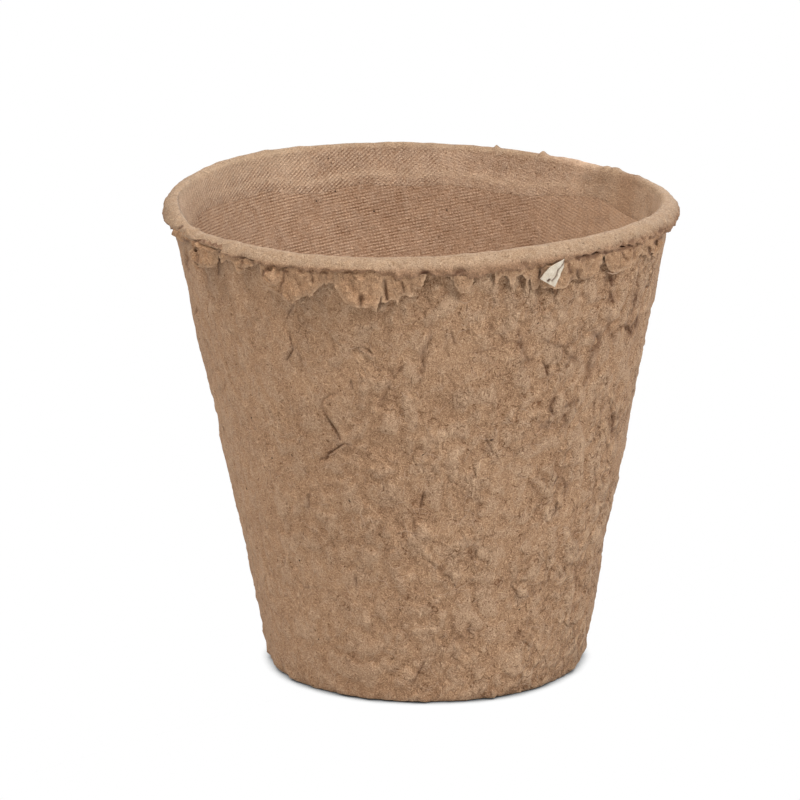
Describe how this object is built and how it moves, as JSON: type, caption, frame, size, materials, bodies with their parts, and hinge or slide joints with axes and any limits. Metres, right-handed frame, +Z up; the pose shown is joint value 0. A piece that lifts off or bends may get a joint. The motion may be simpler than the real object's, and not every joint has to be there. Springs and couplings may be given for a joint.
{
  "type": "pulp seedling pot",
  "caption": "Tapered round pot of moulded paper pulp with a rounded rim, torn flash under the rim and a raised, drained floor, for raising a seedling.",
  "frame": {"origin": "centre of the pot on the surface it stands on, under the middle of the mouth", "axes": "+Z up through the mouth, -Y towards the side that the picture shows, +X to its right"},
  "size_m": [0.08, 0.08, 0.075],
  "materials": {
    "pulp": "matte",
    "rim_pulp": "matte",
    "flash_pulp": "matte",
    "scrap_paper": "matte"
  },
  "bodies": {
    "root": {"side_wall": "pulp", "floor_panel": "pulp", "rolled_rim": "rim_pulp", "torn_flap_01": "flash_pulp", "torn_flap_02": "flash_pulp", "torn_flap_03": "flash_pulp", "torn_flap_04": "flash_pulp", "torn_flap_05": "flash_pulp", "torn_flap_06": "flash_pulp", "torn_flap_07": "flash_pulp", "torn_flap_08": "flash_pulp", "torn_flap_09": "flash_pulp", "torn_flap_10": "flash_pulp", "torn_flap_11": "flash_pulp", "torn_flap_12": "flash_pulp", "torn_flap_13": "flash_pulp", "torn_flap_14": "flash_pulp", "torn_flap_15": "flash_pulp", "torn_flap_16": "flash_pulp", "torn_flap_17": "flash_pulp", "torn_flap_18": "flash_pulp", "torn_flap_19": "flash_pulp", "torn_flap_20": "flash_pulp", "torn_flap_21": "flash_pulp", "torn_flap_22": "flash_pulp", "torn_flap_23": "flash_pulp", "torn_flap_24": "flash_pulp", "torn_flap_25": "flash_pulp", "paper_scrap": "scrap_paper"}
  },
  "joints": []
}
